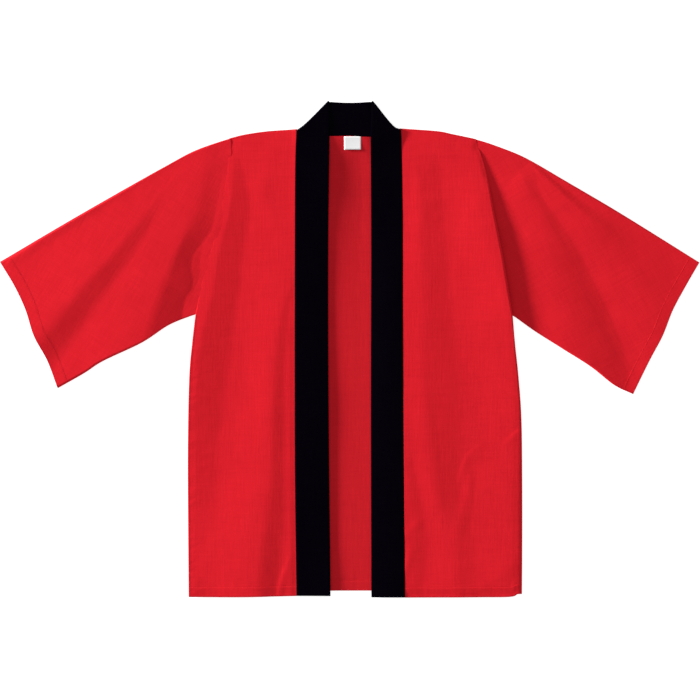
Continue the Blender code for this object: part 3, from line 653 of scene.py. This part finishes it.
sleeve = {
    "thickness": 0.0007,
    "flat": {"right": 0.0042, "left": 0.0025},
    "cuffShare": 0.3,       # how much of the body hem's relief the cuffs show
    "tuck": 0.0080, "rootShift": 0.0015,
    "length": 0.34, "cuffLines": (0.0165, 0.0060, 34),
    "rings": 161,           # points down the armhole and the cuff from which the rows are worked out
    "joinShare": 0.03,      # share of the length in which the edges meet the armhole's ends
    "rows": int(180 * fineness),
    "columns": int(142 * fineness),
    "underColumns": int(36 * fineness),
    "edgeSteps": 7,
    "edgeReach": 0.0015,    # how far in from the folded edges the top layer is drawn down
    "rootPucker": 0.00016, "rootPuckerSize": 0.0060, "rootReach": 0.018,
    "folds": {
        "right": {
            "armhole": (0.30, 0.06, [
                (-0.232, 0.352, 0.05, 0.03, 0), (-0.246, 0.33, 0.05, 0.036, 0.0006),
                (-0.252, 0.3, 0.06, 0.036, 0.0009), (-0.262, 0.25, 0.12, 0.036, 0.0016),
                (-0.273, 0.225, 0.15, 0.043, 0.0024), (-0.286, 0.2, 0.18, 0.04, 0.0029),
                (-0.297, 0.175, 0.19, 0.034, 0.0031), (-0.31, 0.15, 0.2, 0.0455, 0.0038),
                (-0.32, 0.125, 0.205, 0.0555, 0.0044), (-0.3295, 0.1, 0.21, 0.052, 0.0045),
                (-0.347, 0.05, 0.22, 0.061, 0.005), (-0.363, 0, 0.22, 0.066, 0.0051)]),
            "armholeEnd": (0.30, 0.06, [
                (-0.258, 0.186, 0.1, 0.008, 0), (-0.265, 0.168, 0.1, 0.012, 0.0003),
                (-0.269, 0.15, 0.1, 0.013, 0.0005), (-0.271, 0.13, 0.1, 0.014, 0.0005),
                (-0.277, 0.105, 0.1, 0.013, 0.0003), (-0.285, 0.08, 0.1, 0.012, 0)]),
            "middle": (0.3, 0.35, [
                (-0.308, 0.285, 0.06, 0.01, 0), (-0.333, 0.256, 0.1, 0.018, 0.0002),
                (-0.37, 0.211, 0.15, 0.03, 0.0013), (-0.417, 0.156, 0.19, 0.042, 0.0027),
                (-0.466, 0.105, 0.2, 0.053, 0.0036), (-0.511, 0.053, 0.21, 0.062, 0.0043),
                (-0.551, 0.008, 0.22, 0.064, 0.0043)]),
            "topEdge": (0.3, 0.4, [
                (-0.353, 0.2955, 0.004, 0.01, 0), (-0.383, 0.278, 0.004, 0.015, 0.0004),
                (-0.433, 0.2495, 0.004, 0.018, 0.0006), (-0.478, 0.2215, 0.004, 0.018, 0.0006),
                (-0.533, 0.1835, 0.004, 0.018, 0.0005), (-0.58, 0.152, 0.004, 0.018, 0.0003)]),
            "root": (0.4, 0.4, [
                (-0.206, 0.36, 0.02, 0.03, 0), (-0.209, 0.31, 0.02, 0.03, 0.0001),
                (-0.217, 0.26, 0.02, 0.03, 0.0002), (-0.229, 0.2, 0.02, 0.03, 0.0002),
                (-0.244, 0.15, 0.02, 0.03, 0.0001), (-0.257, 0.1, 0.02, 0.03, 0)]),
        },
        "left": {
            "middle": (0.80, 0.07, [
                (0.268, 0.325, 0.06, 0.024, 0), (0.283, 0.3, 0.06, 0.034, 0.0005),
                (0.288, 0.275, 0.08, 0.034, 0.0009), (0.298, 0.25, 0.08, 0.034, 0.001),
                (0.309, 0.225, 0.06, 0.038, 0.0012), (0.322, 0.2, 0.08, 0.042, 0.0014),
                (0.342, 0.15, 0.11, 0.055, 0.0018), (0.358, 0.1, 0.11, 0.063, 0.0021),
                (0.373, 0.05, 0.105, 0.074, 0.0024), (0.382, 0, 0.09, 0.086, 0.0024),
                (0.39, -0.05, 0.09, 0.09, 0.0024)]),
            "trough": (0.30, 0.35, [
                (0.35, 0.24, 0.04, 0.05, 0), (0.358, 0.225, 0.05, 0.05, -0.0004),
                (0.369, 0.2, 0.045, 0.055, -0.0007), (0.403, 0.15, 0.06, 0.065, -0.0012),
                (0.43, 0.1, 0.068, 0.075, -0.0014), (0.455, 0.05, 0.075, 0.08, -0.0014),
                (0.472, 0, 0.08, 0.08, -0.0013), (0.48, -0.05, 0.08, 0.08, -0.0012)]),
            "outer": (0.35, 0.3, [
                (0.345, 0.3, 0.08, 0.06, 0), (0.375, 0.245, 0.08, 0.09, 0.0009),
                (0.405, 0.2, 0.07, 0.11, 0.0016), (0.434, 0.15, 0.07, 0.13, 0.0016),
                (0.46, 0.1, 0.07, 0.13, 0.0014), (0.49, 0.05, 0.07, 0.1, 0.001),
                (0.51, 0, 0.07, 0.06, 0.0005), (0.515, -0.05, 0.07, 0.05, 0.0003)]),
            "outerLine": (0.35, 0.3, [
                (0.304, 0.32, 0.12, 0.007, 0), (0.324, 0.301, 0.15, 0.01, 0.001),
                (0.353, 0.273, 0.15, 0.013, 0.0016), (0.386, 0.242, 0.14, 0.018, 0.0018),
                (0.42, 0.211, 0.12, 0.026, 0.0014), (0.45, 0.188, 0.1, 0.028, 0.0006),
                (0.475, 0.168, 0.08, 0.028, 0)]),
            "crease": (0.3, 0.3, [
                (0.28, 0.318, 0.03, 0.01, 0), (0.29, 0.3, 0.03, 0.014, 0.0002),
                (0.3, 0.275, 0.03, 0.015, 0.0004), (0.32, 0.248, 0.03, 0.014, 0.0003),
                (0.346, 0.2, 0.03, 0.013, 0.0002), (0.374, 0.15, 0.03, 0.013, 0.0001),
                (0.395, 0.1, 0.03, 0.014, 0.0002), (0.419, 0.05, 0.03, 0.014, 0.0002),
                (0.443, 0, 0.03, 0.014, 0.0002), (0.456, -0.028, 0.03, 0.014, 0)]),
            "tuck": (0.3, 0.4, [
                (0.226, 0.335, 0.016, 0.01, 0), (0.246, 0.275, 0.022, 0.04, -0.0002),
                (0.264, 0.22, 0.028, 0.04, -0.0003), (0.28, 0.16, 0.034, 0.04, -0.0003),
                (0.29, 0.1, 0.038, 0.044, -0.0003), (0.3, 0.02, 0.04, 0.044, -0.0003)]),
        },
    },
}


def sleeveRoot(side, share):
    # the sleeve's sewn edge, hidden a little under the front
    root = along(edge("armhole", side), share)
    root[:, 0] -= signs[side] * sleeve["tuck"] * np.sqrt(np.sin(math.pi * share).clip(0))
    return root


def sleeveRows(side):
    v = np.linspace(0, 1, sleeve["rings"])
    u = packed(sleeve["rows"], sleeve["length"], 0.0015, [sleeve["cuffLines"]])
    root = sleeveRoot(side, v)
    root[:, 0] -= signs[side] * sleeve["rootShift"]
    fold, under = along(edge("sleeveTop", side), u), along(edge("sleeveUnder", side), u)
    for line, end in ((fold, root[0]), (under, root[-1])):
        line += (end - line[0]) * np.clip(1 - u / sleeve["joinShare"], 0, 1)[:, None]
    plan = coons(root, along(edge("cuff", side), v), fold, under, v, u)
    flat = sleeve["flat"][side]
    radius = flat / 2
    turn = np.radians(np.linspace(-60, 60, sleeve["edgeSteps"]))
    inset, lift = radius * (1 - np.cos(turn)), radius * (1 + np.sin(turn))
    rings, top, shades = [], [], []
    edgeShadePaint = paintedEdgeShade[side]
    for line in plan:
        width = np.linalg.norm(np.diff(line, axis=0), axis=1).sum()
        over = radius + (width - 2 * radius) * packed(sleeve["columns"], width, 0.0020)
        overPlan = along(line, over / width)
        fromRoot = np.linalg.norm(overPlan[:, None] - plan[0][None], axis=2).min(axis=1)
        fromCuff = np.linalg.norm(overPlan - along(plan[-1], over / width), axis=1)
        rise = np.zeros(len(over))
        for crown, foot, rows in sleeve["folds"][side].values():
            rise += foldRise(overPlan, rows, crown, foot)
        rise += uneven(overPlan, 21, (1.4, 1))
        crease = ripple(overPlan, sleeve["rootPuckerSize"], sleeve["rootPucker"], 23, (2.5, 1))
        rise += crease * np.exp(-fromRoot / sleeve["rootReach"])
        rise += sleeve["cuffShare"] * hemRelief(fromCuff, hem["cuffTurn"], overPlan[:, ::-1], 24)
        for inward in (over - radius, width - radius - over):
            rise = rise * quarterRound(inward / sleeve["edgeReach"])
        underPlan = along(line, np.linspace(width - radius, radius, sleeve["underColumns"]) / width)
        ring = np.vstack((along(line, inset / width), overPlan, along(line, 1 - inset / width)[::-1],
                          underPlan))
        height = np.concatenate((lift, flat + rise, lift[::-1], np.zeros(len(underPlan))))
        rings.append(np.column_stack((ring, height)))
        top.append(np.column_stack((overPlan, flat + rise)))
        # painted shade in the cloth's colour along the top fold, the under edge and the cuff
        overShade = (edgeShadePaint["fold"] * paintedShadeFade(over) + edgeShadePaint["under"] * paintedShadeFade(width - over)
                     + edgeShadePaint["cuff"] * paintedShadeFade(fromCuff))
        shades.append(np.concatenate((np.full(len(turn), edgeShadePaint["fold"]), overShade,
                                      np.full(len(turn), edgeShadePaint["under"]), np.zeros(len(underPlan)))))
    stitchLine = alongSheet(np.array(top), hem["cuffTurn"]) + (0, 0, hem["thread"] / 2)
    return np.array(rings), stitchLine, np.array(shades)


for side in signs:
    rows, stitchLine, shade = sleeveRows(side)
    stitchLines.append(stitchLine)
    if side == "right":
        rows, shade = rows[:, ::-1], shade[:, ::-1]
    piece = addMesh(f"sleeveCloth_{side}", rows, gridFaces(*rows.shape[:2], True), sleeveCotton[side])
    setPaintedShade(piece, shade)
    addWall(piece, sleeve["thickness"], -1)
    declare(piece, f"sleeve_{side}")
print("sleeves made")


# Collar

collar = {
    "thickness": 0.0018,
    "lie": 0.0013,          # underside on the back
    "over": 0.0036,         # underside where the band lies over itself
    "crown": 0.0003,
    "columns": 16,
    "stripRows": int(400 * fineness),
    "fanRows": 20,
    "turnRows": 9,
    "neckRows": 60,
    # y, height of the free edge over the sewn one
    "lift": {
        "right": [(0.37, 0.001), (0.34, 0.0016), (0.32, 0.0022), (0.3, 0.0026),
                  (0.275, 0.0022), (0.25, 0.0012), (0.2, 0.0003), (0.15, -0.0002),
                  (0.1, -0.0007), (0.05, -0.0007), (0, -0.0004), (-0.05, 0.0003),
                  (-0.1, 0.001), (-0.15, 0.0005), (-0.2, 0.0004), (-0.3, 0.0001),
                  (-0.36, 0.001), (-0.424, 0.0028)],
        "left": [(0.37, 0.0014), (0.3, 0.0008), (0.25, 0), (0.2, -0.0014),
                 (0.15, -0.003), (0.1, -0.0038), (0, -0.0034), (-0.1, -0.0026),
                 (-0.3, -0.0018), (-0.424, -0.002)],
    },
    # how far the band's underside lies below the cloth sewn into it, down each seam
    "sewnIn": {
        "right": [(0.4, 0.0009), (-0.424, 0.0009)],
        "left": [(0.4, 0.0013), (-0.27, 0.0013), (-0.34, 0.0011), (-0.424, 0.0009)],
    },
    # how far the shoulder fold bows towards the neck, and how far out it does
    "bend": {"right": (0.0023, 0.58), "left": (0.0056, 0.45)},
    "bendReach": 14,
    "foldIn": 0.0014,       # how far in from the shoulder's end the fold starts
    "nearNeck": 0.05,       # share of a strip in which it climbs onto the fold
    "straight": ((0.35, 0.65), (-0.028, 0.028)),      # shares of the neck and x between the bends
    "neckSeam": 0.3637, "neckRise": 0.0004, "neckHalf": 0.045, "topDip": 0.0018,
    "bow": 0.0028,          # the band stands up a little behind the neck
}


def collarFold(side):
    neck, corner = landmark("neck", side), landmark("collarCorner", side)
    line = (corner - neck) / np.linalg.norm(corner - neck)
    outward = np.array((-line[1], line[0])) * -signs[side]
    inset = (collar["over"] + collar["thickness"]) / 2
    return neck - outward * inset + line * collar["foldIn"], corner - outward * inset, outward


def neckSeam(count):
    right, left = (collarFold(side)[0] for side in signs)
    half, low = collar["neckHalf"], collar["neckSeam"]
    middle = [(-half, low + collar["neckRise"]), (0, low), (half, low + collar["neckRise"])]
    return along(smoothCurve([right, *middle, left]), np.linspace(0, 1, count))


def bandRing(sewn, free, height, up, lift=0.0, bends=()):
    # closed section of the band between its sewn and free edge, its outer face towards up
    half = collar["thickness"] / 2
    width = np.linalg.norm(free - sewn)
    w = np.linspace(half / width, 1 - half / width, collar["columns"])
    turn = np.radians(np.linspace(60, -60, 5))
    freeEnd = 1 - half / width * (1 - np.cos(turn))
    across = np.concatenate((w, freeEnd, w[::-1], 1 - freeEnd[::-1]))
    rise = np.concatenate((half + collar["crown"] * 4 * w * (1 - w), half * np.sin(turn),
                           np.full(len(w), -half), half * np.sin(turn[::-1])))
    across = np.clip(across, 0, 1)
    line = sewn + (free - sewn) * across[:, None]
    for bend, power in bends:
        line += np.outer(np.sin(math.pi * across ** power), bend)
    points = np.column_stack((line, height + lift * across ** 2))
    return points + np.outer(rise, up)


def collarHalf(side):
    half = collar["thickness"] / 2
    shares = packed(collar["stripRows"], 0.8, 0.002)[::-1]
    sewn = along(edge("collarSeam", side), shares)
    free = along(edge("collarFree", side), shares)
    lift = sum(table(collar["lift"][side], free[:, 1] + step) for step in (-0.02, 0, 0.02)) / 3
    level = table(front["lie"][side], sewn[:, 1])[0] - table(collar["sewnIn"][side], sewn[:, 1])
    nearNeck = 1 - ease(shares / collar["nearNeck"])
    level = half + level * (1 - nearNeck) + collar["over"] * nearNeck
    up = np.array((0, 0, 1))
    rings = [bandRing(a, b, h, up, rise) for a, b, h, rise in zip(sewn, free, level, lift)]
    foldSewn, foldFree, outward = collarFold(side)
    reach, power = collar["bend"][side]
    for share in np.linspace(0, 1, collar["fanRows"] + 1)[1:]:
        rings.append(bandRing(sewn[-1] + (foldSewn - sewn[-1]) * share,
                              free[-1] + (foldFree - free[-1]) * share, level[-1], up,
                              lift[-1] * (1 - ease(share)), [(-outward * reach * ease(share), power)]))
    radius = collar["over"] / 2
    for turn in np.linspace(0, math.pi, collar["turnRows"] + 2)[1:-1]:
        shift = outward * radius * math.sin(turn)
        rings.append(bandRing(foldSewn + shift, foldFree + shift, half + radius + radius * math.cos(turn),
                              np.array((*(outward * math.sin(turn)), math.cos(turn))), 0.0,
                              [(-outward * reach, power)]))
    return rings


rightFree, leftFree = (collarFold(side)[1] for side in signs)
neckShare = np.linspace(0, 1, collar["neckRows"] + 1)
straightShares, straightX = collar["straight"]
freeX = np.interp(neckShare, (0, *straightShares, 1), (rightFree[0], *straightX, leftFree[0]))
freeY = rightFree[1] - collar["topDip"] * np.clip(1 - (freeX / rightFree[0]) ** 2, 0, 1)
rings = collarHalf("right")
for a, b, share in zip(neckSeam(collar["neckRows"] + 1), np.column_stack((freeX, freeY)), neckShare):
    bow = collar["bow"] * ease(share / 0.3) * ease((1 - share) / 0.3)
    bends = []
    for side, passed in (("right", share), ("left", 1 - share)):
        reach, power = collar["bend"][side]
        left = 1 - ease(passed * collar["neckRows"] / collar["bendReach"])
        bends.append((-collarFold(side)[2] * reach * left, power))
    rings.append(bandRing(a, b, collar["thickness"] / 2 + bow, np.array((0, 0, -1)), 0.0, bends))
rings = np.array(rings + collarHalf("left")[::-1])
count, columns = rings.shape[:2]
faces = gridFaces(count, columns, True) + [list(range(columns)),
                                           list(range((count - 1) * columns, count * columns))[::-1]]
collarBand = addMesh("collarBand", rings, faces, collarCotton)
declare(collarBand, "collar")
print("collar made")


# Back panel and label

back = {
    "thickness": 0.0008, "length": 0.78,
    "hem": -0.4130,
    "neckRise": 0.0034,     # the back comes up a little towards the neck seam
    "neckFall": 0.0450,
    "window": 0.045,        # half width of what shows between the collar's two edges
    # y, how much the cloth rises under the right half of the collar
    "tilt": [(0.365, 0.0014), (0.33, 0.0028), (0.3, 0.0038), (0.25, 0.0042), (0.2, 0.0034),
             (0.15, 0.0022), (0.1, 0.0015), (0, 0.0008), (-0.1, 0.0015),
             (-0.2, 0.001), (-0.3, 0.0003), (-0.4, 0.0013)],
    "tiltFrom": 0.022, "tiltWidth": 0.062,
    "tuckedNeck": 0.0012, "tuckedShoulder": 0.0003, "tuckedSide": 0.0006,    # hidden under the fronts
    "rows": int(260 * fineness),
    "columns": int(60 * fineness),
}


def backHeight(x, y):
    byNeck = np.clip(1 - (collar["neckSeam"] - y) / back["neckFall"], 0, 1.1) ** 1.5
    tilt = table(back["tilt"], y) * np.clip((back["tiltFrom"] - x) / back["tiltWidth"], 0, 1) ** 1.5
    return back["neckRise"] * byNeck * ease(1.5 - np.abs(x) / 0.05) + tilt * ease((x + 0.10) / 0.04)


def backRows():
    v = packed(back["rows"], back["length"], 0.0015, [(hem["turn"], *hem["lines"])])
    sides = []
    for side in ("right", "left"):
        root = sleeveRoot(side, np.linspace(0, 1, 64))
        lower = edge("side", side)
        lower = lower[lower[:, 1] > back["hem"]]
        line = np.vstack((root, lower[1:], (lower[-1][0], back["hem"])))
        line[:, 0] -= signs[side] * back["tuckedSide"]
        sides.append(along(line, v))
    window = np.linspace(-back["window"], back["window"], back["columns"])
    half = np.linspace(0, 1, max(6, back["columns"] // 2))
    right, left = edge("shoulder", "right"), edge("shoulder", "left")
    neck = neckSeam(60) + (0, back["tuckedNeck"])
    top = np.vstack((right[::-1], neck[1:-1], left))
    top[:, 1] -= back["tuckedShoulder"]
    length = np.concatenate(([0], np.cumsum(np.linalg.norm(np.diff(top, axis=0), axis=1))))
    cut = np.interp((-back["window"], back["window"]), top[:, 0], length / length[-1])
    u = np.concatenate((half * cut[0], np.linspace(cut[0], cut[1], back["columns"])[1:-1],
                        cut[1] + half * (1 - cut[1])))
    topLine = along(top, u)
    topLine[0], topLine[-1] = sides[0][0], sides[1][0]
    hemLine = np.column_stack((np.interp(u, (0, cut[0], cut[1], 1),
                                         (sides[0][-1][0], -back["window"], back["window"],
                                          sides[1][-1][0])), np.full(len(u), back["hem"])))
    plan = coons(topLine, hemLine, sides[0], sides[1], u, v)
    fromHem = np.linalg.norm(plan - plan[-1:], axis=2)
    relief = hemRelief(fromHem, hem["turn"], plan, 31) - hemRelief(0.1, 0.0, plan, 31)
    return np.dstack((plan, np.maximum(backHeight(plan[..., 0], plan[..., 1]) + relief, 0)))


rows = backRows()
stitchLines.append(alongSheet(rows, hem["turn"]) + (0, 0, back["thickness"] + hem["thread"] / 2))
backCloth = addMesh("backCloth", rows[:, ::-1], gridFaces(*rows.shape[:2]), insideCotton)
addWall(backCloth, back["thickness"], 1)
declare(backCloth, "back")

addStitches("hemStitches", stitchLines, threadRed, 41)

label = {"width": 0.0287, "height": 0.0226, "x": 0.0047, "top": 0.3637, "thickness": 0.0003,
         "lie": 0.0008, "tilt": 0.012, "lift": 0.0010}
across, down = np.meshgrid(np.linspace(-0.5, 0.5, 16), np.linspace(0, 1, 12))
labelX = label["x"] + label["width"] * across
labelY = label["top"] - label["height"] * down + label["tilt"] * label["width"] * across
labelZ = label["lie"] + backHeight(labelX, labelY) + label["lift"] * down ** 2
labelTab = addMesh("labelTab", np.dstack((labelX, labelY, labelZ)), gridFaces(12, 16), labelTape)
addWall(labelTab, label["thickness"], 0)
declare(labelTab, "neck_label")
print("back and label made")


# Floor, light and camera

studio = {
    "floor": (0.50, 0.50, 0.50, 1), "floorGlow": 0.80, "floorSize": 12, "floorDrop": 0.0002,
    # degrees above the floor, degrees round from +X, distance, metres across, share of the
    # light on level cloth; the rest comes from all round
    "window": (8.5, 160, 16.0, 2.1, 0.485),
    "worldLight": 0.53,
    "cameraX": 0.0004, "cameraY": -0.0014, "lens": 100, "view": 1.1978,
}
bpy.ops.mesh.primitive_plane_add(size=studio["floorSize"], location=(0, 0, -studio["floorDrop"]))
floor = bpy.context.object
floor.name = "floor"
paper, shader, start = newMaterial("floor paper")
feed(shader, "Base Color", studio["floor"])
feed(shader, "Roughness", 0.9)
feed(shader, "Emission Color", (1, 1, 1, 1))
feed(shader, "Emission Strength", studio["floorGlow"])
floor.data.materials.append(paper)

height, turn, distance, across, share = studio["window"]
height, turn = math.radians(height), math.radians(turn)
toLight = Vector((math.cos(height) * math.cos(turn), math.cos(height) * math.sin(turn),
                  math.sin(height)))
window = bpy.data.lights.new("window", "AREA")
window.shape = "DISK"
window.size = across
window.energy = share * math.pi / math.sin(height) * math.pi * distance ** 2
windowObject = bpy.data.objects.new("window", window)
windowObject.location = toLight * distance
windowObject.rotation_euler = toLight.to_track_quat("Z", "Y").to_euler()
bpy.context.scene.collection.objects.link(windowObject)
world = bpy.data.worlds.new("studio")
world.use_nodes = True
world.node_tree.nodes["Background"].inputs[0].default_value = (1, 1, 1, 1)
world.node_tree.nodes["Background"].inputs[1].default_value = studio["worldLight"]
bpy.context.scene.world = world
bpy.context.scene.view_settings.view_transform = "Standard"

camera = bpy.data.cameras.new("camera")
camera.lens = studio["lens"]
camera.sensor_width = 36
cameraObject = bpy.data.objects.new("camera", camera)
cameraObject.location = (studio["cameraX"], studio["cameraY"], studio["view"] * studio["lens"] / 36)
bpy.context.scene.collection.objects.link(cameraObject)
bpy.context.scene.camera = cameraObject
print("studio set")
